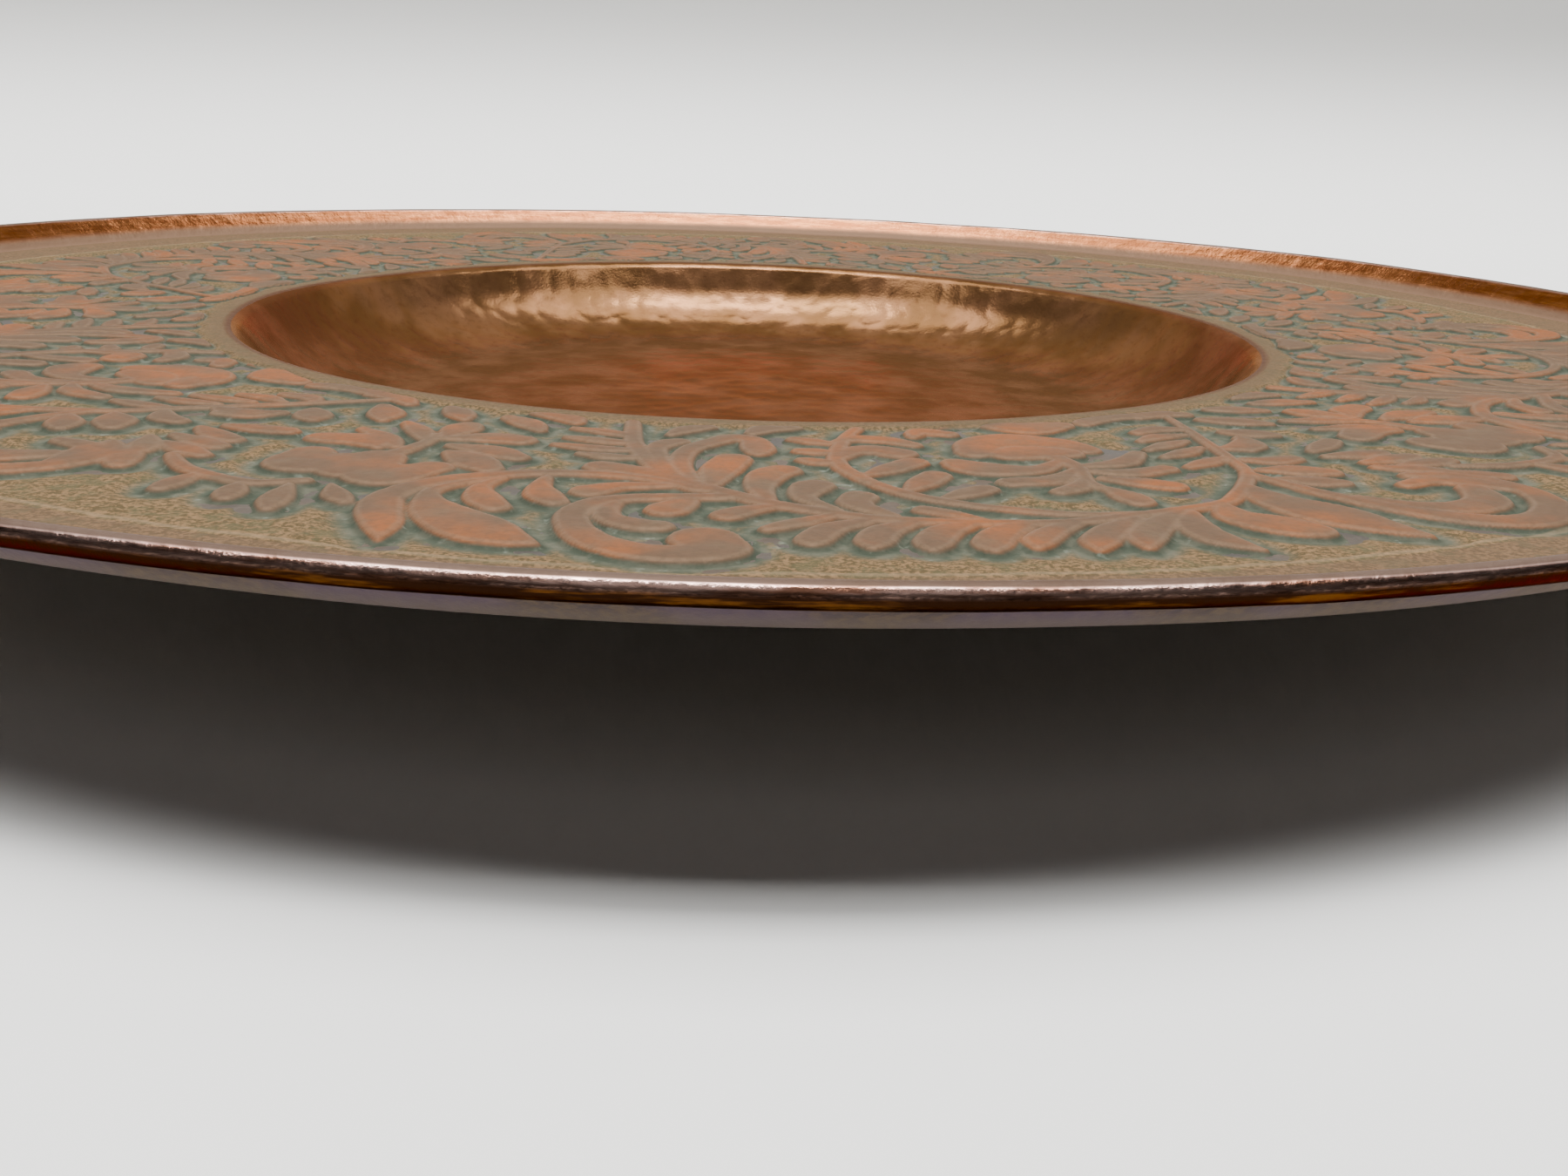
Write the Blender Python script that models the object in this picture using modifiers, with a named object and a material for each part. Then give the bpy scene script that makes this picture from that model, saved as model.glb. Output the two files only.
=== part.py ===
"""Round copper tray: one raised sheet with a sunken well, a wide sloping rim, and an edge rolled over a wire.

Metres, +Z up. The tray stands on z = 0 and its axis is the Z axis.
"""

from math import atan2, cos, pi, radians, sin, tan

import bmesh
import bpy

# Overall sizes
TRAY_RADIUS = 0.325  # to the outside of the rolled edge
RIM_HEIGHT = 0.0365  # the rim's upper face where the edge turns up, above the table
LIP_HEIGHT = 0.0094  # the top of the rolled edge above that face
SHEET = 0.0008  # thickness of the copper

# Well
MOUTH_RADIUS = 0.1755  # where the rim's flat ends and the well begins
WALL_SLOPE = radians(55)  # the steepest part of the well's wall, above the horizontal
SHOULDER_BEND = 0.006  # rounding from the rim down into the well, on the upper face
FLOOR_BEND = 0.050  # rounding from the well's wall to its floor, on the upper face

# Rim and rolled edge
RIM_DROP = 0.0047  # how much lower the rim is at the well than at the edge
LIP_SLOPE = radians(45)  # the lip's flare, above the horizontal
LIP_BEND = 0.003  # rounding from the rim up into the lip, on the upper face
WIRE_DIAMETER = 0.0016
WIRE_GAP = 0.0003  # clearance between the wire and the sheet rolled over it
ROLL_ANGLE = 1.15 * pi  # how far round the wire the sheet goes, from where the lip meets it

RING_STEPS = 96  # facets round the tray
WIRE_SIDES = 8

ROLL_RADIUS = WIRE_DIAMETER / 2 + WIRE_GAP + SHEET  # outer face of the roll, about the wire
WIRE_CENTRE_RADIUS = TRAY_RADIUS - ROLL_RADIUS
WIRE_HEIGHT = RIM_HEIGHT + LIP_HEIGHT - ROLL_RADIUS


def arc(centre, radius, start, end, steps):
    """Points of an arc about centre, in radius and height, from one angle to another."""
    turns = [start + (end - start) * i / steps for i in range(steps + 1)]
    return [(centre[0] + radius * cos(a), centre[1] + radius * sin(a)) for a in turns]


def sheet_profile():
    """The sheet's upper face as radius and height, from the middle of the floor to the raw edge."""
    # The lip runs straight from the rim to the roll, which it touches here.
    lip_top_radius = WIRE_CENTRE_RADIUS - ROLL_RADIUS * sin(LIP_SLOPE)
    lip_top_height = WIRE_HEIGHT + ROLL_RADIUS * cos(LIP_SLOPE)
    lip_length = (lip_top_height - RIM_HEIGHT) / sin(LIP_SLOPE)
    lip_foot_radius = lip_top_radius - lip_length * cos(LIP_SLOPE)
    rim_slope = atan2(RIM_DROP, lip_foot_radius - MOUTH_RADIUS)
    half_turn = (LIP_SLOPE - rim_slope) / 2
    lip_bend = min(LIP_BEND, 0.98 * lip_length / tan(half_turn))
    lip_bend_start = lip_bend * tan(half_turn)  # along the rim, from the foot of the lip
    lip_centre = (
        lip_foot_radius - lip_bend_start * cos(rim_slope) - lip_bend * sin(rim_slope),
        RIM_HEIGHT - lip_bend_start * sin(rim_slope) + lip_bend * cos(rim_slope),
    )
    shoulder_centre = (
        MOUTH_RADIUS + SHOULDER_BEND * sin(rim_slope),
        RIM_HEIGHT - RIM_DROP - SHOULDER_BEND * cos(rim_slope),
    )
    # The wall leaves the shoulder here and would meet the plane of the floor at foot_radius. The floor's
    # bend touches both, so it takes the same length of each, and no more than the wall has.
    wall_top_radius = shoulder_centre[0] - SHOULDER_BEND * sin(WALL_SLOPE)
    wall_top_height = shoulder_centre[1] + SHOULDER_BEND * cos(WALL_SLOPE)
    wall_length = (wall_top_height - SHEET) / sin(WALL_SLOPE)
    foot_radius = wall_top_radius - wall_length * cos(WALL_SLOPE)
    floor_bend = min(FLOOR_BEND, 0.98 * wall_length / tan(WALL_SLOPE / 2))
    floor_centre = (foot_radius - floor_bend * tan(WALL_SLOPE / 2), SHEET + floor_bend)
    points = [(0.0, SHEET)]
    points += arc(floor_centre, floor_bend, -pi / 2, WALL_SLOPE - pi / 2, 7)
    points += arc(shoulder_centre, SHOULDER_BEND, WALL_SLOPE + pi / 2, rim_slope + pi / 2, 4)
    points += arc(lip_centre, lip_bend, rim_slope - pi / 2, LIP_SLOPE - pi / 2, 4)
    wire_centre = (WIRE_CENTRE_RADIUS, WIRE_HEIGHT)
    roll_start = LIP_SLOPE + pi / 2
    points += arc(wire_centre, ROLL_RADIUS, roll_start, roll_start - ROLL_ANGLE, 10)
    return points


def make_material(name, colour, roughness):
    """A bare metal of one colour."""
    material = bpy.data.materials.new(name)
    material.use_nodes = True
    shader = material.node_tree.nodes["Principled BSDF"]
    shader.inputs["Base Color"].default_value = (*colour, 1.0)
    shader.inputs["Metallic"].default_value = 1.0
    shader.inputs["Roughness"].default_value = roughness
    return material


def make_tray_sheet(parts):
    """The tray itself: the upper face turned about the axis and given the sheet's thickness below."""
    mesh = bpy.data.meshes.new("tray_sheet")
    sheet = bpy.data.objects.new("tray_sheet", mesh)
    parts.objects.link(sheet)
    drawn = bmesh.new()
    corners = [drawn.verts.new((radius, 0.0, height)) for radius, height in sheet_profile()]
    for first, second in zip(corners, corners[1:]):
        drawn.edges.new((first, second))
    drawn.to_mesh(mesh)
    drawn.free()
    turn = sheet.modifiers.new("turn", "SCREW")
    turn.axis = "Z"
    turn.steps = RING_STEPS
    turn.render_steps = RING_STEPS
    turn.use_merge_vertices = True
    turn.merge_threshold = 0.00001
    thickness = sheet.modifiers.new("thickness", "SOLIDIFY")
    thickness.thickness = SHEET
    thickness.offset = -1.0
    thickness.use_even_offset = True
    sheet.data.materials.append(make_material("worn_copper", (0.42, 0.23, 0.14), 0.38))


def make_edge_wire(parts):
    """The closed ring of wire that the edge is rolled over."""
    bpy.ops.mesh.primitive_torus_add(
        location=(0.0, 0.0, WIRE_HEIGHT),
        major_radius=WIRE_CENTRE_RADIUS,
        minor_radius=WIRE_DIAMETER / 2,
        major_segments=RING_STEPS,
        minor_segments=WIRE_SIDES,
    )
    wire = bpy.context.object
    wire.name = "edge_wire"
    for collection in list(wire.users_collection):
        collection.objects.unlink(wire)
    parts.objects.link(wire)
    wire.data.materials.append(make_material("wire_copper", (0.30, 0.15, 0.08), 0.5))


def main():
    for thing in list(bpy.data.objects):
        bpy.data.objects.remove(thing)
    parts = bpy.data.collections.new("copper_tray")
    bpy.context.scene.collection.children.link(parts)
    make_tray_sheet(parts)
    make_edge_wire(parts)


main()
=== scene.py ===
from math import atan2, cos, pi, radians, sin, tan

import bpy
import numpy as np
from mathutils import Matrix, Vector


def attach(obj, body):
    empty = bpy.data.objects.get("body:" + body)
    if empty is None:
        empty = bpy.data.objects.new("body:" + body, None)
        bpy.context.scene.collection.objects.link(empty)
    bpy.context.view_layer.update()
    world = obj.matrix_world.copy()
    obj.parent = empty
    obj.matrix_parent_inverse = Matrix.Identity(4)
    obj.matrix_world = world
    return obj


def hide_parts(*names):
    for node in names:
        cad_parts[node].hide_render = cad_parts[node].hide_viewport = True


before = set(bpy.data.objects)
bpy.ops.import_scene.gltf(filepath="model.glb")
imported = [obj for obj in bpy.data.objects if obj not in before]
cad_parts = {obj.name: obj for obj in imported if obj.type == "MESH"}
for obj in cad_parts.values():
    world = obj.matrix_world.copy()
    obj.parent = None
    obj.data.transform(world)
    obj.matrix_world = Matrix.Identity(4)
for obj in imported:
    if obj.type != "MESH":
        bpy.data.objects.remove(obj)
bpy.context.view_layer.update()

# ---- Rim, in six pieces -----------------------------------------------------------------------
# The wide rim of the one sheet of copper that the tray is raised from. Its ornament is worked up
# from the back and chased round from the front, then the metal is coloured brown and green and
# rubbed on the high parts. The pieces meet where the ornament repeats.

# The sheet's section, as in the CAD solid, in millimetres. Only the meshes are in metres. Angles
# round the tray are measured from its near side (-Y) towards +X.
TRAY_R = 325.0
RIM_Z = 36.5  # upper face of the rim where the lip starts
LIP_TOP = 45.9
SHEET = 0.8
MOUTH_R, RIM_DROP = 175.5, 4.7
WALL = radians(55)
SHOULDER_BEND, FLOOR_BEND = 6.0, 50.0
LIP_SLOPE, LIP_BEND = radians(45), 3.0
ROLL_R = 1.9
ROLL_AT = (TRAY_R - ROLL_R, LIP_TOP - ROLL_R)
LIP_RISE = ROLL_AT[1] + ROLL_R * cos(LIP_SLOPE) - RIM_Z
LIP_FOOT_R = ROLL_AT[0] - ROLL_R * sin(LIP_SLOPE) - LIP_RISE / tan(LIP_SLOPE)
RIM_SLOPE = atan2(RIM_DROP, LIP_FOOT_R - MOUTH_R)
LIP_RUN = LIP_BEND * tan((LIP_SLOPE - RIM_SLOPE) / 2)
LIP_BEND_AT = (
    LIP_FOOT_R - LIP_RUN * cos(RIM_SLOPE) - LIP_BEND * sin(RIM_SLOPE),
    RIM_Z - LIP_RUN * sin(RIM_SLOPE) + LIP_BEND * cos(RIM_SLOPE),
)
SHOULDER_AT = (
    MOUTH_R + SHOULDER_BEND * sin(RIM_SLOPE),
    RIM_Z - RIM_DROP - SHOULDER_BEND * cos(RIM_SLOPE),
)
WALL_TOP = (SHOULDER_AT[0] - SHOULDER_BEND * sin(WALL), SHOULDER_AT[1] + SHOULDER_BEND * cos(WALL))
FOOT_R = WALL_TOP[0] - (WALL_TOP[1] - SHEET) / tan(WALL)
FLOOR_R = FOOT_R - FLOOR_BEND * tan(WALL / 2)
WELL_EDGE_R = 173.5  # where the rim's pieces meet the well's piece
RIM_EDGE_R = 311.0  # where they meet the rolled edge's piece


def smooth(low, high, x):
    """0 below low, 1 above high, and a smooth rise between."""
    t = np.clip((x - low) / (high - low), 0.0, 1.0)
    return t * t * (3 - 2 * t)


def section_height(r, inset=0.0):
    """Height of the upper face at radius r, or of the face that lies inset below it."""
    r = np.asarray(r, float)
    rim = RIM_Z + (r - LIP_FOOT_R) * tan(RIM_SLOPE) - inset / cos(RIM_SLOPE)
    bend = SHOULDER_BEND - inset
    shoulder = SHOULDER_AT[1] + np.sqrt(np.maximum(bend**2 - (r - SHOULDER_AT[0]) ** 2, 0))
    wall = WALL_TOP[1] + (r - WALL_TOP[0]) * tan(WALL) - inset / cos(WALL)
    big = FLOOR_BEND + inset
    foot = SHEET + FLOOR_BEND - np.sqrt(np.maximum(big**2 - (r - FLOOR_R) ** 2, 0))
    z = np.where(r < FLOOR_R, SHEET - inset, foot)
    z = np.where(r > FLOOR_R + big * sin(WALL), wall, z)
    z = np.where(r > SHOULDER_AT[0] - bend * sin(WALL), shoulder, z)
    return np.where(r > SHOULDER_AT[0] - bend * sin(RIM_SLOPE), rim, z)


def lattice_noise(x, y, size, seed):
    """Smooth random heights from -1 to 1, with bumps about size across."""
    cells = 128
    grid = np.random.default_rng(seed).uniform(-1, 1, (cells, cells))
    x, y = np.asarray(x) / size, np.asarray(y) / size
    i, j = np.floor(x).astype(int), np.floor(y).astype(int)
    across, up = smooth(0, 1, x - i), smooth(0, 1, y - j)
    i, j, next_i, next_j = i % cells, j % cells, (i + 1) % cells, (j + 1) % cells
    low = grid[i, j] * (1 - across) + grid[next_i, j] * across
    high = grid[i, next_j] * (1 - across) + grid[next_i, next_j] * across
    return low * (1 - up) + high * up


def sway(x, y):
    """The slow unevenness of a sheet raised by hand, zero or below."""
    return 0.28 * lattice_noise(x, y, 95.0, 3) + 0.12 * lattice_noise(x, y, 38.0, 4) - 0.4


def on_plan(r, turn):
    """x and y of a place on the tray, from its radius and its angle."""
    return r * np.sin(turn), -r * np.cos(turn)


# Scrolling stems with comb leaves, drop-shaped petals and two flowers. One sixth of the ring is
# drawn as strokes through (angle in degrees, radius, width), and the ring repeats it
# with small changes.
SECTORS = 6
MOTIF = [
    # main stem, arching stem and the stem of the comb at the upper left
    [(-1.3, 245, 4.5), (0, 250, 4.6), (1, 254, 4.6), (3, 259, 4.2), (5, 263.5, 4), (7, 266, 4)]
    + [(9, 267.5, 3.8), (11, 268, 3.6), (13, 267, 3.6), (15, 265, 3.6), (17, 263.5, 3.6)]
    + [(19.5, 261, 3.6), (21, 256.5, 3.6), (23, 249, 3.4), (25, 240, 3.2), (27, 225, 3.2)]
    + [(30, 205, 3), (33, 188, 2.2)],
    [(9.5, 172, 3), (7, 190, 3.4), (6, 200, 3.6), (5.2, 212, 3.8), (5, 222, 4), (5.5, 232, 4)]
    + [(6.2, 240, 4), (7.5, 249, 3.8), (10, 257.5, 3.4), (13, 263, 3), (16, 264, 2.5)],
    [(-8.5, 176, 3.4), (-7.5, 190, 3.8), (-6.5, 205, 4.2), (-5.3, 218, 4.6), (-4, 230, 4.6)]
    + [(-2.8, 238, 4.2), (-1.3, 246, 4.5)],
    [(-6.7, 201, 2.5), (-8.6, 198, 5), (-11, 196, 2.6)],
    [(-6.2, 208, 2.5), (-8.2, 207, 5), (-10.5, 206, 2.6)],
    [(-5.6, 215, 2.5), (-8, 215, 5), (-10.5, 214, 2.6)],
    [(-4.9, 222, 2.5), (-6.8, 222.5, 4.6), (-8.5, 221, 2.6)],
    # leaves that fall to the left of the hub
    [(-2, 243, 3), (-4, 235.5, 6), (-6.6, 231.5, 7.5)],
    [(-1.8, 246, 4), (-3, 242, 3.6), (-5, 238.5, 3.6), (-7, 238, 4), (-9, 240, 4.4)]
    + [(-10.5, 243.5, 5), (-12, 250, 5.4), (-13, 258, 5.6), (-13.2, 266, 6.4), (-12.6, 274, 7.4)]
    + [(-11.5, 283, 6), (-10.8, 291, 1)],
    [(-10.5, 247, 2.5), (-11.5, 253, 3), (-12, 260, 3.6), (-11.5, 266, 5.5), (-10.5, 272, 9)]
    + [(-8.7, 279.5, 12), (-7.4, 283.5, 8), (-6.1, 286, 1.4)],
    [(-10.3, 246, 2.5), (-10.5, 254, 4), (-9.8, 261, 6.5), (-8.9, 266, 5.5)],
    [(-8.5, 243, 2.5), (-8.3, 250, 4.5), (-7.7, 256, 6.5), (-7, 260, 5)],
    [(-3, 244.5, 3), (-5, 246, 5), (-6.1, 251, 7)],
    # C-shaped scroll with its bulb, and the leaves inside it
    [(-0.5, 251, 4), (-2, 252, 4), (-4, 254, 4.6), (-5.3, 258, 5.2), (-5.9, 266, 5.6)]
    + [(-5.5, 274, 6), (-4.5, 282, 7), (-3, 287, 7.5), (-1.5, 287.5, 8), (-0.5, 284, 9.5)]
    + [(-0.95, 278.5, 11)],
    [(-4.5, 256, 2), (-4.8, 262, 4), (-4.5, 268, 5), (-3.5, 271.5, 6), (-2.6, 271.8, 5)],
    [(-1.8, 252, 2.5), (-2.2, 257, 6), (-2.6, 261, 7.5)],
    [(1.5, 257, 3), (0.5, 259.5, 5), (-0.3, 263.5, 6)],
    # comb of leaves below the main stem
    [(3.6, 262, 3), (2, 268, 4.5), (1.1, 271.5, 3)],
    [(5, 264.5, 3), (3.4, 270, 5.5), (2.6, 277, 6), (2.5, 280, 3)],
    [(6.6, 266, 3), (5.2, 271, 6), (4.6, 277, 6.4), (4.4, 281, 3)],
    [(8.6, 267, 3), (7.2, 272, 6), (6.5, 278, 6.4), (6.3, 282, 3)],
    [(10.6, 268, 3), (9.2, 273, 6), (8.4, 279, 6.4), (8.2, 283, 3)],
    [(12.4, 268, 3), (11.1, 272.5, 5), (10.1, 278, 5.5), (9.7, 282, 2.5)],
    [(14.8, 267, 3), (13.2, 273, 6), (12.1, 279, 6.4), (11.6, 284, 2.5)],
    [(17, 264.5, 3), (15.2, 271, 6), (13.9, 278, 6.4), (13.3, 284, 2.5)],
    [(17.3, 266, 3), (16.4, 273, 6.5), (16.2, 281, 7), (16.9, 289, 1.2)],
    [(19.3, 262, 3), (18.8, 270, 8), (19.6, 277, 11), (20.2, 281, 7)],
    [(22.5, 252, 3), (22, 262, 9), (22.4, 273, 13), (22.9, 283, 8), (23.5, 291, 1.2)],
    # petals that rise from the main stem
    [(-2.8, 238, 3), (-4.2, 222, 4.2), (-4.8, 212, 5), (-4.4, 206, 6), (-3.8, 203.5, 5)],
    [(-2, 240, 3), (-3, 225, 4.4), (-3, 213, 5), (-2, 204, 5.5), (-0.6, 197, 6), (0.6, 199, 6)]
    + [(0.9, 207, 7), (0.9, 212, 5)],
    [(-1.2, 242, 4), (-0.9, 228, 8), (-0.45, 219, 7.6)],
    [(1.2, 252, 3.4), (0.9, 243, 5.4), (1.3, 233, 7.4), (2.1, 228, 7)],
    [(3.8, 259, 3), (2.7, 250, 4.6), (3.1, 242, 7.4), (3.4, 240, 7)],
    [(5.8, 262, 3), (4.7, 254, 6), (5, 248.5, 6.6)],
    [(9, 266, 2.6), (8, 261, 4.4), (7.2, 258, 4.6)],
    # leaves on both sides of the arching stem
    [(5.3, 216, 3), (6.3, 209, 6), (7.6, 207.5, 8), (8.7, 211, 8)],
    [(6, 231, 2.6), (7.6, 225, 6.4), (9, 219.5, 6)],
    [(7.3, 244, 2.6), (8.4, 237, 6.4), (9.3, 231.5, 6)],
    [(8.5, 250, 2.6), (9.8, 246, 5.6), (10.8, 243, 5)],
    [(5.5, 200, 2.6), (7, 195.5, 5.4), (9, 197, 6), (10.3, 202, 4)],
    [(5.3, 201, 2.6), (4.2, 199, 5), (3.2, 197, 4)],
    [(5, 210, 2.6), (4.2, 209.5, 5), (3.3, 209, 4)],
    [(4.8, 220, 2.6), (4, 219.5, 5), (3.3, 218, 4)],
    # second flower: a lobed head on a stem with paired leaves
    [(13.2, 211, 8), (14.6, 203, 11), (17, 201, 13), (19, 205, 11), (20, 212, 7)],
    [(15, 214, 9), (16.6, 213, 11), (18.2, 215, 8)],
    [(17, 220, 5), (17, 228, 4), (16, 240, 3.2), (16.1, 248, 3)],
    [(17, 222, 3), (14.5, 229, 6), (12, 226, 10), (11.2, 220.5, 6)],
    [(16.5, 231, 3), (14.5, 238, 6), (12.4, 238.5, 6)],
    [(16, 238, 2.4), (15, 244, 5), (13.8, 247, 4)],
    [(16.2, 246, 2.6), (16.3, 253, 6.6), (16.3, 256, 6)],
    [(17, 238, 2.6), (18.4, 243.5, 6.6), (19.3, 247, 6)],
    [(17, 232, 2.6), (19, 235.5, 5.6), (21.3, 234, 5)],
    [(17, 228, 2.6), (19.8, 226.5, 5.8), (22.3, 219, 4)],
    [(14, 182, 4), (17.5, 178.5, 9), (20, 187, 12), (23, 187, 6)],
    # scroll at the right of the sixth
    [(24.5, 243, 3), (24.6, 254, 4), (25, 266, 5), (25.8, 277, 6), (27.2, 287, 7)]
    + [(29.2, 291, 7.4), (31.6, 286.5, 7), (33.2, 276, 6), (33, 264, 5.4), (31.3, 258, 4)],
    [(25.6, 266, 3), (26.6, 275, 5.6), (28.2, 279.5, 7.4), (30, 278.5, 8), (31.4, 271.5, 6)],
    # first flower: three lobes and two rows of petals
    [(-20.4, 243, 9), (-19.5, 250.5, 13), (-18.2, 247, 13)],
    [(-17.2, 240, 10), (-17.2, 247, 15), (-17, 250, 13)],
    [(-14, 243, 8), (-15, 253, 12), (-16.2, 249, 12)],
    [(-18.5, 232, 3), (-20, 227.5, 9), (-22.2, 229.5, 8)],
    [(-17.8, 230, 3), (-19.5, 223.5, 5.6), (-22, 218.5, 3)],
    [(-17.2, 222, 3), (-19, 214, 5.6), (-21, 208, 3)],
    [(-16.8, 217, 3), (-17.2, 208.5, 8), (-17.3, 204, 6)],
    [(-16.5, 218, 3), (-14.5, 213, 8), (-12.7, 213, 7)],
    [(-15.5, 224, 3), (-13, 225.5, 8), (-11.2, 228.5, 5)],
    [(-14.8, 230, 3), (-13, 234.5, 8.6), (-11.6, 239.5, 6)],
    [(-17.4, 216, 3), (-17, 226, 3.6), (-17, 238, 5)],
    # sprigs below and to the left of it
    [(-25, 258, 3), (-23.6, 262.5, 3.6), (-22, 266, 3.8), (-19, 268, 3.6), (-17.3, 262, 3)],
    [(-21.5, 267, 2), (-21.2, 274, 5.4), (-21, 278.5, 4)],
    [(-19.1, 269, 2), (-18.6, 274.5, 5.4), (-18.2, 278, 4)],
    [(-17.4, 266, 2), (-16.6, 275, 5.6), (-16, 281, 3)],
    [(-16, 263, 2), (-15, 268.5, 5), (-14.2, 272, 3)],
    [(-28, 233, 3), (-26.4, 231, 6), (-24.8, 229, 5)],
    [(-28.5, 238, 3), (-26.8, 240.5, 6), (-25.3, 242, 5)],
    [(-28, 246, 3), (-26.2, 247, 6), (-24.8, 248, 5)],
    [(-27, 252, 3), (-25.4, 253.5, 6), (-24, 255, 4)],
    [(-28.5, 250, 3), (-27.4, 255, 6), (-26.6, 259, 5)],
    [(-27, 258, 3), (-26, 265, 6.4), (-25.2, 269, 5)],
    [(-30.5, 263, 4), (-28.6, 263, 6), (-27.4, 269, 8), (-27, 276, 5)],
    # leaves of the main stem where it climbs back towards the well
    [(26.9, 219, 2.4), (25, 222, 5), (23.2, 224, 3)],
    [(27.6, 212, 2.4), (25.6, 214, 5), (23.6, 216.5, 3)],
    [(26.2, 229, 2.4), (24.4, 231.5, 5), (22.8, 233.5, 3)],
    [(28.8, 207, 2.4), (26.8, 206, 5), (25, 208, 3)],
    [(30.4, 203, 2.4), (28.6, 199, 5.4), (26.6, 200, 4)],
    [(27.8, 222, 3), (29.3, 222.5, 7), (30.6, 219.5, 6)],
    [(26.8, 232, 3), (28, 236, 6), (29.3, 236.5, 5)],
    [(25.8, 241, 3), (27.3, 245, 8), (28.4, 249, 5)],
    [(25, 249, 3), (26.2, 253, 7), (27.2, 256.5, 4)],
    [(25, 187, 5), (27, 182.5, 9), (30, 182, 9), (32.5, 185, 5)],
    # leaves between the stems beside the well
    [(-22.8, 208, 3), (-24, 201.5, 8), (-25.6, 195.5, 4)],
    [(-28, 209, 4), (-27, 213, 8), (-26, 217, 4)],
    [(-31, 226, 3), (-29.6, 222, 6), (-28.8, 216, 4)],
    [(-18.6, 198, 3), (-20, 192.5, 7), (-21.6, 188, 4)],
    [(-12.8, 201, 3), (-14.4, 195, 7), (-16.4, 191, 4)],
    [(-11.6, 189, 4), (-13, 184, 8), (-15.4, 182, 5)],
    [(-25, 189, 4), (-27, 185, 7), (-29.4, 186, 4)],
    [(0.6, 191, 4), (1.6, 185.5, 7), (3.6, 183, 4)],
    [(-4.6, 196, 3), (-3.8, 190, 6), (-2.4, 186, 4)],
    [(11, 193, 3), (12, 188, 6), (13.6, 191, 5)],
]
PIVOT_R, REDUCED = 180, 0.965  # the strokes are drawn in slightly towards the well
FATTER = 1.12
DISC_STEP = 0.5


def stroke_discs(points):
    """Discs along a smooth curve through the points, each with its angle, radius and width."""
    points = np.array(points, float)
    points[:, 1] = PIVOT_R + REDUCED * (points[:, 1] - PIVOT_R)
    ends = np.vstack([2 * points[0] - points[1], points, 2 * points[-1] - points[-2]])
    made = []
    for a, b, c, d in zip(ends, ends[1:], ends[2:], ends[3:]):
        length = abs(c[1] - b[1]) + radians(abs(c[0] - b[0])) * b[1]
        t = np.linspace(0, 1, max(3, int(length / DISC_STEP)))[:, None]
        square, cube = 2 * a - 5 * b + 4 * c - d, 3 * (b - c) + d - a
        made.append(0.5 * (2 * b + (c - a) * t + square * t**2 + cube * t**3))
    made = np.vstack(made)
    # the width never swings past the widths given
    made[:, 2] = FATTER * np.clip(made[:, 2], points[:, 2].min(), points[:, 2].max())
    return made


DISCS = np.vstack([stroke_discs(points) for points in MOTIF])
REACH = 9.0  # how far from a leaf the distance is still measured


def leaf_distance(turns, radii):
    """Distance inside the leaves' outline (negative outside) on a grid of angles and radii."""
    field = np.full((len(radii), len(turns)), -REACH)
    # a slow bend of up to about half a degree, so that the sixths aren't copies
    turns = turns + np.radians(0.35 * np.sin(3 * turns + 0.7) + 0.22 * np.sin(7 * turns + 2.1))
    step = radii[1] - radii[0]
    # a sixth more past each end, for the strokes that cross the joint at the far side
    for k in range(-1, SECTORS + 1):
        for degrees, r, width in DISCS:
            middle = radians(degrees) + k * 2 * pi / SECTORS
            reach = width / 2 + REACH
            first, last = np.searchsorted(turns, [middle - reach / r, middle + reach / r])
            inner = max(int((r - reach - radii[0]) / step), 0)
            outer = min(int((r + reach - radii[0]) / step) + 1, len(radii))
            if first >= last or inner >= outer:
                continue
            around = turns[first:last] - middle
            rows = radii[inner:outer, None]
            away = np.sqrt((rows * np.sin(around)) ** 2 + (rows * np.cos(around) - r) ** 2)
            part = field[inner:outer, first:last]
            np.maximum(part, width / 2 - away, out=part)
    return field


COLLAR_R = (177, 181)  # the plain collar round the well ends between these
CHASED_LINE_R = 292.2  # the fine line between the ornament and the burnished band
LEAF_SIDE = 0.7  # half the width of the slope at a leaf's edge
LEAF_LOW, LEAF_SWELL, SWELL_WITHIN = 0.25, 0.40, 2.2
GROUND_DEPTH = 0.7


def relief(leaf, x, y, radii):
    """Height of the worked surface above the plain rim."""
    body = smooth(-LEAF_SIDE, LEAF_SIDE, leaf)
    raised = LEAF_LOW + LEAF_SWELL * (1 - np.exp(-np.maximum(leaf, 0) / SWELL_WITHIN))
    sunk = -GROUND_DEPTH * smooth(6.5, 2.5, -leaf)
    punched = 0.10 * lattice_noise(x, y, 3.2, 11) + 0.07 * lattice_noise(x, y, 1.7, 12)
    punched = punched * smooth(294, 292, radii)
    planished = 0.10 * lattice_noise(x, y, 11.0, 13)
    line = 0.10 * np.exp(-(((radii - CHASED_LINE_R) / 0.7) ** 2))
    made = body * (raised + 0.3 * punched) + (1 - body) * (sunk + punched) + planished + line
    return made * smooth(*COLLAR_R, radii) * smooth(RIM_EDGE_R, RIM_EDGE_R - 4, radii)


def colour(code):
    """Linear RGBA of an sRGB hex colour."""
    parts = [int(code[i : i + 2], 16) / 255 for i in (1, 3, 5)]
    return (*[c / 12.92 if c <= 0.04045 else ((c + 0.055) / 1.055) ** 2.4 for c in parts], 1.0)


def set_inputs(node, inputs):
    """Links each input whose value is a socket, and sets the others, hex colours included."""
    for key, value in inputs.items():
        if isinstance(value, bpy.types.NodeSocket):
            node.id_data.links.new(value, node.inputs[key])
        else:
            node.inputs[key].default_value = colour(value) if isinstance(value, str) else value


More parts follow.
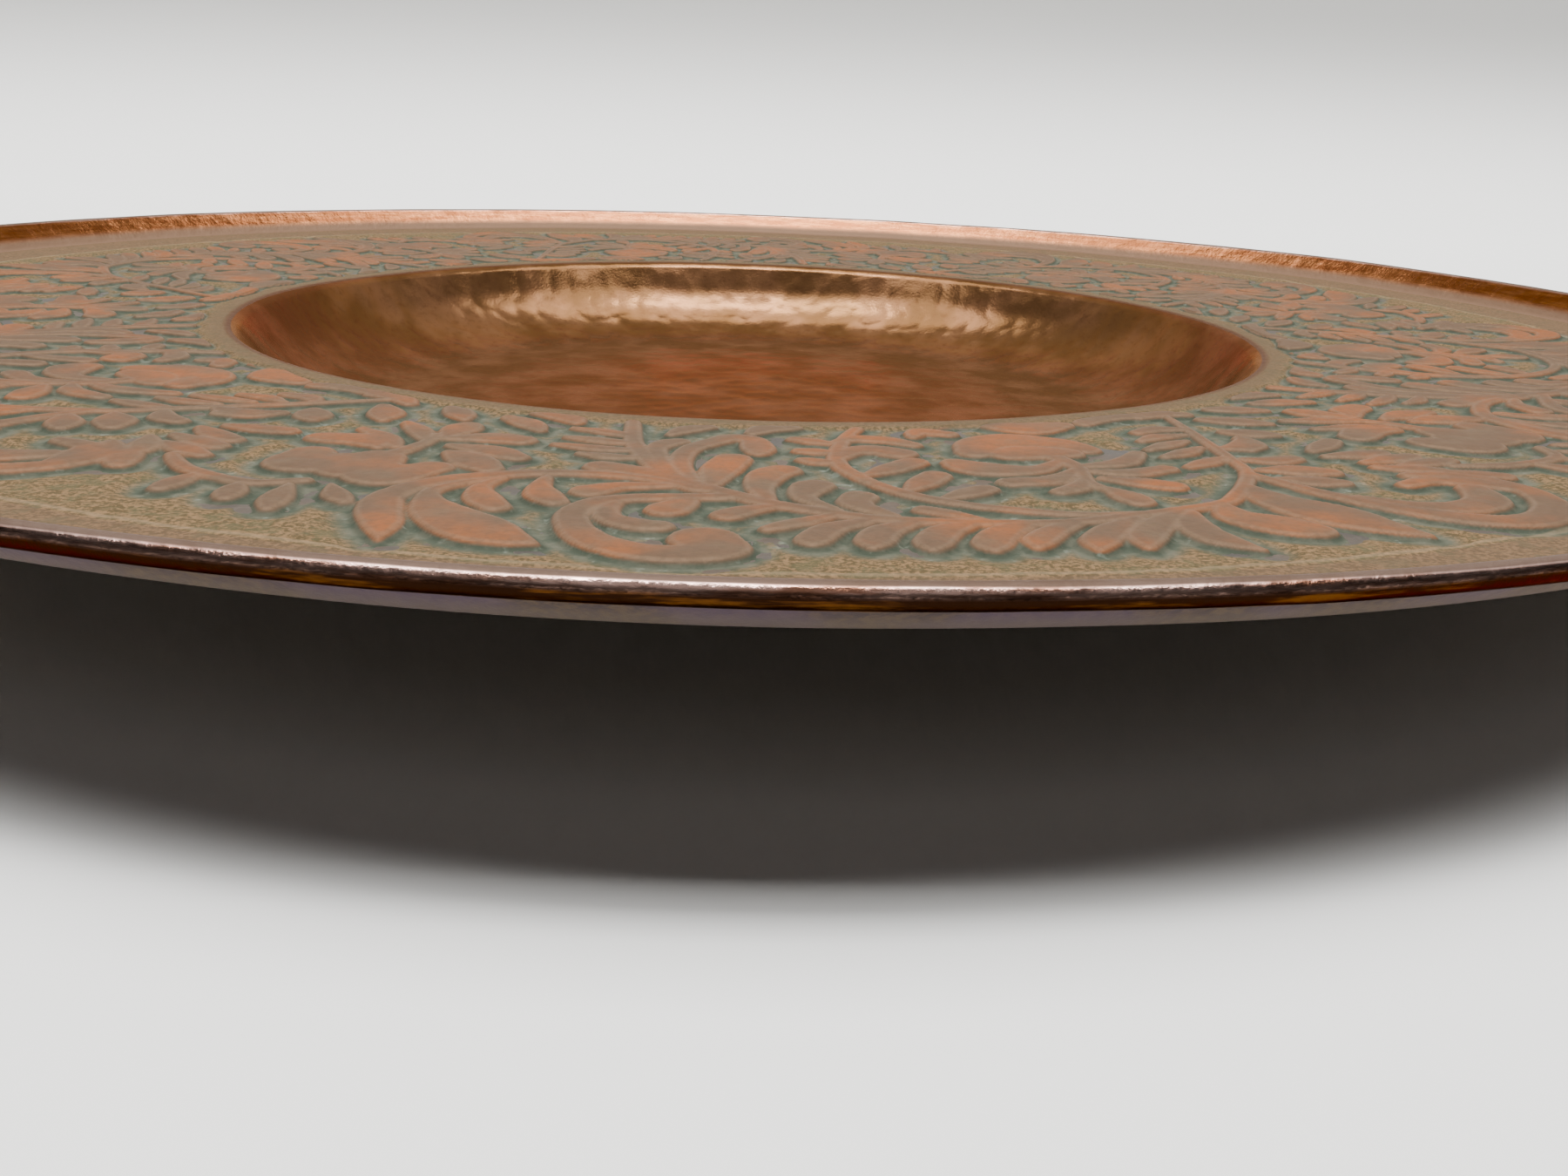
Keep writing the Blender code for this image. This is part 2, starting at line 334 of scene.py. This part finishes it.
def add_node(tree, kind, inputs=None, output=0, **settings):
    """Adds a node with its settings and inputs, and returns the output asked for."""
    node = tree.nodes.new("ShaderNode" + kind)
    for key, value in settings.items():
        setattr(node, key, value)
    set_inputs(node, inputs or {})
    return node.outputs[output]


def new_material(name, inputs):
    """A material with its shader's inputs set, its node tree and its shader."""
    material = bpy.data.materials.new(name)
    material.use_nodes = True
    shader = material.node_tree.nodes["Principled BSDF"]
    set_inputs(shader, inputs)
    return material, material.node_tree, shader


def patches(tree, size, detail, roughness, stretch=None):
    """Cloudy patches about size millimetres across, fixed to the metal."""
    place = add_node(tree, "TexCoord", output="Object")
    if stretch:
        place = add_node(tree, "Mapping", {"Vector": place, "Scale": stretch})
    inputs = {"Vector": place, "Scale": 1000 / size, "Detail": detail, "Roughness": roughness}
    return add_node(tree, "TexNoise", inputs)


def distance_out(tree):
    """Distance from the tray's axis in millimetres."""
    place = add_node(tree, "TexCoord", output="Object")
    flat = add_node(tree, "VectorMath", {0: place, 1: (1000, 1000, 0)}, operation="MULTIPLY")
    return add_node(tree, "VectorMath", {0: flat}, output="Value", operation="LENGTH")


MM = 0.001  # the shader's own lengths are in metres
EASED = {"interpolation_type": "SMOOTHSTEP"}
COLOURS = {"data_type": "RGBA"}


def coat(under, over, source, start, full, share=1.0):
    """One colour over another: none of it where source is at start, its share where at full."""
    tree = source.id_data
    amount = add_node(tree, "MapRange", {0: source, 1: start, 2: full, 4: share}, **EASED)
    return add_node(tree, "Mix", {0: amount, 6: under, 7: over}, 2, **COLOURS)


def strip(source, start, full, last, gone, share=1.0):
    """A share that rises from start to full and falls again from last to gone."""
    tree = source.id_data
    rise = add_node(tree, "MapRange", {0: source, 1: start, 2: full}, **EASED)
    fall = add_node(tree, "MapRange", {0: source, 1: gone, 2: last, 4: share}, **EASED)
    return add_node(tree, "Math", {0: rise, 1: fall}, operation="MULTIPLY")


def rim_patina():
    """Raised copper, chemically coloured and rubbed by hand: brown and nearly matt, with no
    mirror of the light, more orange where it is worn and grey-green where dust sits in the gaps."""
    inputs = {"Specular IOR Level": 0.08, "Specular Tint": "#c8a890"}
    material, tree, shader = new_material("rim_patina", inputs)
    leaf = add_node(tree, "Attribute", output="Fac", attribute_name="leaf")
    crowd = add_node(tree, "Attribute", output="Fac", attribute_name="crowd")
    radius = distance_out(tree)
    # leaf tops: taupe where the patina is whole, orange-brown where hands have worn it, and
    # lighter along the leaf's edge, partly rubbing wear and partly a painted highlight
    leaves = coat("#5e4a3a", "#835031", patches(tree, 34, 3, 0.55), 0.42, 0.66)
    leaves = coat(leaves, "#655442", patches(tree, 9, 3, 0.6), 0.45, 0.7, 0.5)
    rubbed = strip(leaf, 0.1, 0.5, 0.7, 1.7, 0.35)
    leaves = add_node(tree, "Mix", {0: rubbed, 6: leaves, 7: "#7f6954"}, 2, **COLOURS)
    leaves = coat(leaves, "#4b3f33", patches(tree, 1.6, 3, 0.7), 0.44, 0.62, 0.3)
    # ground: speckled brown out on the border, grey-green with pale dust in the gaps
    ground = coat("#50442f", "#7c6347", patches(tree, 0.9, 3, 0.7), 0.42, 0.6)
    ground = coat(ground, "#4f4e38", patches(tree, 6, 5, 0.68), 0.50, 0.62, 0.55)
    gap = coat("#434a3f", "#5a5b4e", patches(tree, 5, 4, 0.65), 0.4, 0.62)
    gap = coat(gap, "#7d8376", patches(tree, 3.4, 3, 0.6), 0.60, 0.72, 0.6)
    ground = add_node(tree, "Mix", {0: crowd, 6: ground, 7: gap}, 2, **COLOURS)
    ground = coat(ground, "#30342a", leaf, -1.8, -0.6, 0.4)
    # the burnished band inside the rolled edge, the pale line that bounds it, and the collar
    line = strip(radius, 291.0, 291.8, 292.4, 293.2, 0.35)
    ground = add_node(tree, "Mix", {0: line, 6: ground, 7: "#8e7a60"}, 2, **COLOURS)
    ground = coat(ground, "#5f4a3c", radius, 292.8, 294.2, 0.45)
    ground = coat(ground, "#574736", radius, 184.0, 178.0, 0.6)
    # the shoulder turns into the well's barer metal
    both = coat(ground, leaves, leaf, -0.3, 0.4)
    top = add_node(tree, "MapRange", {0: leaf, 1: -0.3, 2: 0.4}, **EASED)
    shoulder = add_node(tree, "MapRange", {0: radius, 1: 176.5, 2: 174.0}, **EASED)
    roughness = add_node(tree, "Mix", {0: top, 2: 0.68, 3: 0.56})
    # the real grain of the patina is finer, and is drawn this coarse so that it shows
    fine = {0: patches(tree, 1.1, 3, 0.6), 1: 0.5, 2: patches(tree, 3.4, 2, 0.5)}
    grain = add_node(tree, "Math", fine, operation="MULTIPLY_ADD")
    strength = add_node(tree, "Mix", {0: top, 2: 0.9, 3: 0.3})
    bump = {"Height": grain, "Distance": 0.3 * MM, "Strength": strength}
    finish = {
        "Base Color": add_node(tree, "Mix", {0: shoulder, 6: both, 7: "#4f3422"}, 2, **COLOURS),
        "Roughness": add_node(tree, "Mix", {0: shoulder, 2: roughness, 3: 0.42}),
        "Metallic": add_node(tree, "Mix", {0: shoulder, 2: 0.15, 3: 0.4}),
        "Normal": add_node(tree, "Bump", bump),
    }
    set_inputs(shader, finish)
    return material


RIM_PATINA = rim_patina()


def finish_piece(piece, name, material, node="tray_sheet"):
    """Names a piece, gives it its material, ties it to the CAD body and hides the CAD node it
    replaces.
    """
    piece.name = piece.data.name = name
    piece.data.materials.clear()
    piece.data.materials.append(material)
    piece.data.shade_smooth()
    for layer in piece.data.uv_layers:
        layer.name = "OFBake"
    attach(piece, "root")
    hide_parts(node)


def move_points(piece, points):
    """Sets every vertex of a primitive, in millimetres, and leaves the object at the origin."""
    metres = (points.reshape(-1, 3) / 1000).astype(np.float32)
    piece.data.vertices.foreach_set("co", metres.ravel())
    piece.data.update()


def add_attribute(piece, name, values):
    """Stores one number for each vertex, which the piece's material reads."""
    layer = piece.data.attributes.new(name, "FLOAT", "POINT")
    layer.data.foreach_set("value", values.astype(np.float32).ravel())


COLUMNS, ROWS = 400, 229  # faces round and across a sixth


def rim_piece(index):
    """A fine grid bent into a sector of the ring."""
    step_t = 2 * pi / SECTORS / COLUMNS
    start = index * 2 * pi / SECTORS - pi / SECTORS
    # one step past each side, so that the normals agree where two pieces meet
    turns = start + step_t * np.arange(-1, COLUMNS + 2)
    step_r = (RIM_EDGE_R - WELL_EDGE_R) / ROWS
    radii = WELL_EDGE_R + step_r * np.arange(-1, ROWS + 2)
    # the leaves stop short of the plain collar round the well
    leaf = leaf_distance(turns, radii) - REACH * smooth(184, 179, radii)[:, None]
    x, y = on_plan(radii[:, None], turns[None, :])
    z = section_height(radii)[:, None] + relief(leaf, x, y, radii[:, None]) + sway(x, y)
    points = np.stack([x, y, z], -1)
    along = points[1:-1, 2:] - points[1:-1, :-2]
    outwards = points[2:, 1:-1] - points[:-2, 1:-1]
    normals = np.cross(outwards, along)
    normals /= np.linalg.norm(normals, axis=-1, keepdims=True)
    bpy.ops.mesh.primitive_grid_add(x_subdivisions=COLUMNS, y_subdivisions=ROWS, size=1)
    piece = bpy.context.object
    # the grid's rows run from the outside inwards, which turns its faces up
    inner = np.s_[1:-1, 1:-1]
    move_points(piece, points[inner][::-1])
    add_attribute(piece, "leaf", leaf[inner][::-1])
    add_attribute(piece, "crowd", smooth(5.0, 1.2, -leaf)[inner][::-1])
    finish_piece(piece, f"rim_relief_{index + 1}", RIM_PATINA)
    piece.data.normals_split_custom_set_from_vertices(normals[::-1].reshape(-1, 3))


bpy.ops.object.select_all(action="DESELECT")
for sector in range(SECTORS):
    rim_piece(sector)


# ---- Well -------------------------------------------------------------------------------------
# The deep bowl in the middle of the same sheet: copper hammered down over a stake and then
# planished, which leaves overlapping round marks, and kept brighter than the rim.
WELL_FACES = 300  # along each side of the square grid that is drawn out to a disc
WELL_MARK, WELL_MARK_CURVE = 8.5, 52.0  # spacing of the marks, and how round the hammer's face is
WELL_MARKED_R = 185.0  # just past the mouth, so that the marks cover the shoulder
FLAT_R, SWAYING_R = 60, 172  # the unevenness grows between these, so the tray stands flat


def disc_grid(count):
    """Radius from 0 to 1 and angle of each vertex of a count by count grid made round."""
    u, v = np.meshgrid(np.linspace(-1, 1, count + 1), np.linspace(-1, 1, count + 1))
    radius = np.maximum(abs(u), abs(v))
    steep = abs(v) > abs(u)
    ratio = np.where(steep, u / np.where(v == 0, 1, v), v / np.where(u == 0, 1, u)) * pi / 4
    steep_angle = np.where(v > 0, pi / 2 - ratio, -pi / 2 - ratio)
    angle = np.where(steep, steep_angle, np.where(u >= 0, ratio, pi + ratio))
    return radius, angle


def hammer_marks(limit, spacing, seed):
    """Centres of hammer marks on wandering rings, each with a small lift."""
    rng = np.random.default_rng(seed)
    made = []
    for ring in np.arange(0.4, limit / spacing + 1):
        radius = ring * spacing
        count = max(1, int(2 * pi * radius / spacing))
        turn = rng.uniform(0, 2 * pi) + np.arange(count) * 2 * pi / count
        turn = turn + rng.normal(0, 0.25 / max(ring, 1), count)
        away = radius + rng.normal(0, 0.22 * spacing, count)
        lift = rng.uniform(0, 0.05, count)
        made.append(np.stack([away * np.cos(turn), away * np.sin(turn), lift], -1))
    return np.vstack(made)


def marks_height(x, y, marks, curve):
    """Height of the ridges left between round dents whose radius of curvature is curve."""
    best = np.full(x.size, 1e9)
    px, py = x.ravel(), y.ravel()
    for mx, my, lift in marks:
        np.minimum(best, ((px - mx) ** 2 + (py - my) ** 2) / (2 * curve) + lift, out=best)
    return best.reshape(x.shape)


def well_copper():
    """Raised and planished copper under a thin brown tarnish: soft broken gleams on each hammer
    mark rather than a mirror, and a warm brown that turns darker in stains."""
    inputs = {"Metallic": 0.55, "Specular IOR Level": 0.0, "Specular Tint": "#b07840"}
    material, tree, shader = new_material("well_copper", inputs)
    tarnish = coat("#5f432a", "#745238", patches(tree, 26, 3, 0.55), 0.38, 0.66)
    tarnish = coat(tarnish, "#523420", patches(tree, 3.2, 4, 0.7), 0.50, 0.68, 0.35)
    rubbed = {0: patches(tree, 7, 3, 0.6), 1: 0.3, 2: 0.7, 3: 0.13, 4: 0.2}
    bump = {"Height": patches(tree, 1.1, 3, 0.6), "Distance": 0.06 * MM, "Strength": 1.0}
    finish = {
        "Base Color": tarnish,
        "Roughness": add_node(tree, "MapRange", rubbed, **EASED),
        "Normal": add_node(tree, "Bump", bump),
    }
    set_inputs(shader, finish)
    return material


def well_bowl():
    """The upper face of the bowl, from a disc of concentric squares drawn out to circles."""
    radius, angle = disc_grid(WELL_FACES)
    # the shares of the grid that the floor, the wall and the shoulder take up
    rings = [0, FLOOR_R, WALL_TOP[0] - 1, WELL_EDGE_R]
    spread = np.interp(radius, [0, 0.42, 0.84, 1], rings)
    x, y = spread * np.cos(angle), spread * np.sin(angle)
    dents = marks_height(x, y, hammer_marks(WELL_MARKED_R, WELL_MARK, 21), WELL_MARK_CURVE) - 0.12
    fade = smooth(WELL_EDGE_R - 0.5, WELL_EDGE_R - 4, spread)
    z = section_height(spread) + dents * fade + sway(x, y) * smooth(FLAT_R, SWAYING_R, spread)
    bpy.ops.mesh.primitive_grid_add(x_subdivisions=WELL_FACES, y_subdivisions=WELL_FACES, size=1)
    piece = bpy.context.object
    move_points(piece, np.stack([x, y, z], -1))
    finish_piece(piece, "well_bowl", well_copper())


well_bowl()


# ---- Underside --------------------------------------------------------------------------------
# The back of the same sheet, from the flat that the tray stands on out to the rolled edge. It is
# left as the hammer left it, with wider and shallower marks, and was never coloured or polished.
BACK_FACES = 300
BACK_MARK, BACK_MARK_CURVE = 12.5, 120.0
BACK_MARKED_R = 330.0
LEAST_Z = 0.02  # nothing comes lower, so the tray doesn't sink into the table


def back_oxide():
    """Old unpolished copper: a dull grey-brown oxide with paler specks and hardly any gleam."""
    material, tree, shader = new_material("under_oxide", {"Metallic": 0.6, "Roughness": 0.55})
    oxide = coat("#4d4843", "#5a4c40", patches(tree, 18, 4, 0.6), 0.35, 0.66)
    oxide = coat(oxide, "#6b5f54", patches(tree, 2.2, 3, 0.6), 0.55, 0.7, 0.4)
    bump = {"Height": patches(tree, 1.4, 3, 0.6), "Distance": 0.08 * MM, "Strength": 1.0}
    set_inputs(shader, {"Base Color": oxide, "Normal": add_node(tree, "Bump", bump)})
    return material


def underside():
    """The lower face of the sheet: strong marks under the rim, faint ones under the floor."""
    radius, angle = disc_grid(BACK_FACES)
    rings = [0, FLOOR_R, WALL_TOP[0] - 1, WELL_EDGE_R, RIM_EDGE_R]
    spread = np.interp(radius, [0, 0.3, 0.55, 0.62, 1], rings)
    x, y = spread * np.cos(angle), spread * np.sin(angle)
    dents = marks_height(x, y, hammer_marks(BACK_MARKED_R, BACK_MARK, 22), BACK_MARK_CURVE)
    fade = smooth(RIM_EDGE_R - 0.5, RIM_EDGE_R - 6, spread)
    z = section_height(spread, SHEET) + sway(x, y) * smooth(FLAT_R, SWAYING_R, spread)
    z += (dents * 0.6 - 0.1) * fade * smooth(100, 150, spread)
    z += np.where(spread < 150, dents * 0.25, 0) * smooth(150, 120, spread)
    bpy.ops.mesh.primitive_grid_add(x_subdivisions=BACK_FACES, y_subdivisions=BACK_FACES, size=1)
    piece = bpy.context.object
    move_points(piece, np.stack([x, y, np.maximum(z, LEAST_Z)], -1))
    finish_piece(piece, "underside", back_oxide())
    piece.data.flip_normals()


underside()


# ---- Rolled edge ------------------------------------------------------------------------------
# The lip and the margin of the same sheet, turned up and rolled outwards over a wire with a
# mallet. The roll is rubbed bright by handling, with a painted highlight on its front, and it
# turns darker towards the raw edge below it.
AROUND = 1200
ROLL_END = radians(-72)  # the raw edge, measured from level at the roll's outer side


def arc_points(centre, radius, start, end, count):
    """Points round an arc of the section, as r and z."""
    angles = np.linspace(start, end, count)
    return [(centre[0] + radius * cos(a), centre[1] + radius * sin(a)) for a in angles]


def edge_section():
    """The closed section: upper face, roll, raw edge, the roll's inside and the outer face of the
    lip. Each point has r, z, how far down the roll's front it is, and 1 on the lower face."""
    rolled_from = LIP_SLOPE + pi / 2
    foot = (RIM_SLOPE - pi / 2, LIP_SLOPE - pi / 2)
    bend = arc_points(LIP_BEND_AT, LIP_BEND, *foot, 6)
    low = np.array(bend[-1])
    high = np.array(ROLL_AT) + ROLL_R * np.array((-sin(LIP_SLOPE), cos(LIP_SLOPE)))
    down = SHEET * np.array((sin(LIP_SLOPE), -cos(LIP_SLOPE)))
    upper = [(RIM_EDGE_R, float(section_height(RIM_EDGE_R))), *bend]
    upper += [low + (high - low) * t for t in (0.2, 0.4, 0.6, 0.8)]
    lower = arc_points(ROLL_AT, ROLL_R - SHEET, ROLL_END, rolled_from, 10)
    lower += [low + down + (high - low) * t for t in (0.83, 0.67, 0.5, 0.33, 0.17)]
    lower += arc_points(LIP_BEND_AT, LIP_BEND + SHEET, *foot[::-1], 6)
    lower += [(RIM_EDGE_R, float(section_height(RIM_EDGE_R, SHEET)))]
    made = [(r, z, 0.0, 0.0) for r, z in upper]
    front = arc_points(ROLL_AT, ROLL_R, rolled_from, ROLL_END, 24)
    for a, (r, z) in zip(np.linspace(rolled_from, ROLL_END, 24), front):
        made.append((r, z, float(smooth(radians(42), radians(5), a)), 0.0))
    made += [(r, z, 1.0, 1.0) for r, z in lower]
    return np.array(made)


def ring_piece(turns, rows):
    """A grid with a row of vertices for each point of a section, and a column for each turn."""
    bpy.ops.mesh.primitive_grid_add(x_subdivisions=turns, y_subdivisions=rows, size=1)
    return bpy.context.object


def close_ring(piece):
    """Welds the two pairs of sides that meet in a ring."""
    bpy.ops.object.mode_set(mode="EDIT")
    bpy.ops.mesh.select_all(action="SELECT")
    bpy.ops.mesh.remove_doubles(threshold=1e-6)
    bpy.ops.object.mode_set(mode="OBJECT")


def height_up(tree):
    """Height above the table in millimetres."""
    place = add_node(tree, "TexCoord", output="Object")
    up = add_node(tree, "SeparateXYZ", {0: place}, output="Z")
    return add_node(tree, "Math", {0: up, 1: 1000}, operation="MULTIPLY")


def edge_copper():
    """Copper polished by handling on the roll: pink and bright where it turns to the front, partly
    rubbed metal and partly a painted highlight, dull along its top, black-brown at the raw edge,
    and a matt purplish oxide on the lip's outside, painted paler low down as if lit from the table."""
    material, tree, shader = new_material("edge_copper", {"Specular Tint": "#d9b090"})
    lower = add_node(tree, "Attribute", output="Fac", attribute_name="lower")
    under = add_node(tree, "Attribute", output="Fac", attribute_name="under")
    radius = distance_out(tree)
    # rubbed along the edge, so the patches are long that way and short up and down
    rub = patches(tree, 4, 4, 0.65, (0.2, 0.2, 2.5))
    metal = coat("#6b3f25", "#845434", rub, 0.4, 0.65)
    metal = coat(metal, "#6a5240", radius, 317.5, 314.5)
    # painted highlight: the roll's copper is brighter and pinker than the lip's, over its real
    # rubbing
    bright = coat("#a0705a", "#e6bcae", rub, 0.35, 0.6)
    metal = coat(metal, bright, radius, 321.0, 322.5)
    dulled = strip(radius, 321.4, 321.9, 323.8, 324.2)
    most = add_node(tree, "Math", {0: dulled, 1: 0.95}, operation="MULTIPLY")
    metal = add_node(tree, "Mix", {0: most, 6: metal, 7: "#46382f"}, 2, **COLOURS)
    # the roll's front turns darker brown towards its bottom and the raw edge
    darker_below = coat("#1e0f07", "#4a2c10", rub, 0.52, 0.66)
    metal = add_node(tree, "Mix", {0: lower, 6: metal, 7: darker_below}, 2, **COLOURS)
    oxide = coat("#453d3f", "#5a4d42", patches(tree, 1.8, 4, 0.7), 0.42, 0.6)
    oxide = coat(oxide, "#54475a", patches(tree, 22, 3, 0.55), 0.42, 0.6, 0.6)
    # painted light: the oxide is paler towards the bottom of the lip's outside, as if lit from the
    # table
    oxide = coat(oxide, "#685e54", height_up(tree), 40.0, 36.0, 0.6)
    # how matt the metal is: the dulled top, the patina at the lip's foot, and the oxide
    foot = add_node(tree, "MapRange", {0: radius, 1: 317.5, 2: 314.5}, **EASED)
    matt = add_node(tree, "Math", {0: dulled, 1: 0.9}, operation="MULTIPLY")
    matt = add_node(tree, "Math", {0: matt, 1: foot}, operation="MAXIMUM")
    matt = add_node(tree, "Math", {0: matt, 1: under}, operation="MAXIMUM")
    roughness = add_node(tree, "Mix", {0: lower, 2: 0.25, 3: 0.34})
    metallic = add_node(tree, "Mix", {0: dulled, 2: 0.35, 3: 0.05})
    # small nicks over the longer unevenness left by the mallet
    nicks = {0: patches(tree, 1.2, 3, 0.6), 1: 0.3, 2: patches(tree, 7, 2, 0.5)}
    uneven = add_node(tree, "Math", nicks, operation="MULTIPLY_ADD")
    bump = {"Height": uneven, "Distance": 0.45 * MM, "Strength": 1.0}
    finish = {
        "Base Color": add_node(tree, "Mix", {0: under, 6: metal, 7: oxide}, 2, **COLOURS),
        "Roughness": add_node(tree, "Mix", {0: matt, 2: roughness, 3: 0.6}),
        "Metallic": add_node(tree, "Mix", {0: matt, 2: 1.0, 3: metallic}),
        "Normal": add_node(tree, "Bump", bump),
    }
    set_inputs(shader, finish)
    return material


def rolled_edge():
    """The section carried round the tray, fuller in some places than in others."""
    section = edge_section()
    section = np.vstack([section, section[:1]])[::-1]
    piece = ring_piece(AROUND, len(section) - 1)
    turns = 2 * pi * np.arange(AROUND + 1)[None, :] / AROUND
    r, z = section[:, :1], section[:, 1:2]
    x, y = on_plan(r, turns)
    z = z + sway(x, y)
    full = 0.13 * lattice_noise(x, y, 24.0, 31) + 0.07 * lattice_noise(x, y, 9.0, 32) - 0.21
    dents = 0.10 * lattice_noise(x, y, 7.0, 33) + 0.05 * lattice_noise(x, y, 3.5, 34)
    on_roll = smooth(ROLL_AT[0] - 3, ROLL_AT[0], r)
    on_lip = smooth(LIP_FOOT_R, LIP_FOOT_R + 2, r) * smooth(ROLL_AT[0], ROLL_AT[0] - 2, r)
    x, y = on_plan(r + full * on_roll + dents * on_lip, turns)
    move_points(piece, np.stack([x, y, z], -1))
    add_attribute(piece, "lower", section[:, 2:3] + 0 * turns)
    add_attribute(piece, "under", section[:, 3:4] + 0 * turns)
    close_ring(piece)
    finish_piece(piece, "rolled_edge", edge_copper())


rolled_edge()


# ---- Edge wire --------------------------------------------------------------------------------
# A ring of copper wire that the margin is rolled over, which stiffens the edge. It shows only in
# the gap below the roll.
WIRE_R = 0.8
WIRE_IN = 0.15  # it lies this much nearer the axis than the roll's middle
WIRE_TURNS, WIRE_SIDES = 720, 12


def edge_wire():
    """A round section carried round the tray, which follows the sheet's unevenness."""
    piece = ring_piece(WIRE_TURNS, WIRE_SIDES)
    turns = 2 * pi * np.arange(WIRE_TURNS + 1)[None, :] / WIRE_TURNS
    around = -2 * pi * np.arange(WIRE_SIDES + 1)[:, None] / WIRE_SIDES
    x, y = on_plan(ROLL_AT[0] + WIRE_R * np.cos(around) - WIRE_IN, turns)
    z = ROLL_AT[1] + WIRE_R * np.sin(around) + sway(x, y)
    move_points(piece, np.stack([x, y, z], -1))
    close_ring(piece)
    # drawn copper wire, dulled by the air: one even reddish brown with a broad soft gleam
    drawn_copper = {"Base Color": "#7a4a33", "Metallic": 1.0, "Roughness": 0.5}
    material = new_material("wire_copper", drawn_copper)[0]
    finish_piece(piece, "edge_wire_ring", material, "edge_wire")


edge_wire()


# ---- Floor, light and camera ------------------------------------------------------------------
# A roll of pale paper that sweeps up into a backdrop, soft lights overhead with a little from
# the front and on the paper behind, and the view from just above the near edge. In metres.
PAPER_HALF_WIDTH, PAPER_FRONT_Y, PAPER_TOP = 2.6, -1.6, 3.0
SWEEP_Y, SWEEP_R = 1.1, 0.6


def paper_sweep():
    """The paper, from flat in front through a quarter turn to upright behind."""
    turns = np.linspace(0, pi / 2, 13)[1:]
    path = [(PAPER_FRONT_Y, 0.0), (SWEEP_Y, 0.0)]
    path += [(SWEEP_Y + SWEEP_R * sin(a), SWEEP_R - SWEEP_R * cos(a)) for a in turns]
    path += [(SWEEP_Y + SWEEP_R, PAPER_TOP)]
    bpy.ops.mesh.primitive_grid_add(x_subdivisions=1, y_subdivisions=len(path) - 1, size=1)
    floor = bpy.context.object
    points = [(side * PAPER_HALF_WIDTH, y, z) for y, z in path for side in (-1, 1)]
    floor.data.vertices.foreach_set("co", np.array(points, np.float32).ravel())
    floor.data.shade_smooth()
    floor.name = "floor"
    # uncoated paper: matt and nearly white, and greyer where it climbs away from the light
    material, tree, shader = new_material("paper", {"Roughness": 0.9, "Metallic": 0.0})
    white = coat("#f5f4f1", "#a6a5a2", height_up(tree), 20.0, 300.0)
    set_inputs(shader, {"Base Color": white})
    floor.data.materials.append(material)


def area_light(name, place, size, power, aim=(0, 0, 0)):
    """A rectangular light of this size in metres and power in watts, turned towards aim."""
    bpy.ops.object.light_add(type="AREA", location=place)
    light = bpy.context.object
    light.name = name
    light.data.shape = "RECTANGLE"
    light.data.size, light.data.size_y = size
    light.data.energy = power
    light.rotation_euler = (Vector(aim) - Vector(place)).to_track_quat("-Z", "Y").to_euler()


paper_sweep()
area_light("overhead", (0.0, -0.1, 6.0), (3.6, 1.0), 300.0, aim=(0.0, -0.1, 0.0))
area_light("overhead_wide", (0.0, 0.4, 6.05), (7.8, 4.0), 840.0, aim=(0.0, 0.4, 0.0))
area_light("front_fill", (0.0, -2.7, 2.3), (3.0, 1.5), 5.5)
area_light("backdrop_wash", (0.0, 0.7, 1.7), (2.6, 0.5), 9.0, aim=(0.0, 1.7, 0.5))

world = bpy.data.worlds.new("studio")
bpy.context.scene.world = world
world.use_nodes = True
set_inputs(world.node_tree.nodes["Background"], {"Color": (1, 1, 1, 1), "Strength": 0.004})

YAW, PITCH, ROLL = 0.0323, -0.3492, 0.0396  # radians: to the right, down, and to the side
bpy.ops.object.camera_add(location=(0.0, -0.4614, 0.09486))
camera = bpy.context.object
camera.data.lens, camera.data.sensor_width = 29.0, 36.0
camera.data.clip_start, camera.data.clip_end = 0.01, 20.0
ahead = Vector((sin(YAW) * cos(PITCH), cos(YAW) * cos(PITCH), sin(PITCH)))
right = Vector((cos(YAW), -sin(YAW), 0.0))
up = right.cross(ahead)
right, up = cos(ROLL) * right + sin(ROLL) * up, cos(ROLL) * up - sin(ROLL) * right
turned = Matrix((right, up, -ahead)).transposed().to_4x4()
camera.matrix_world = Matrix.Translation(camera.location) @ turned
bpy.context.scene.camera = camera
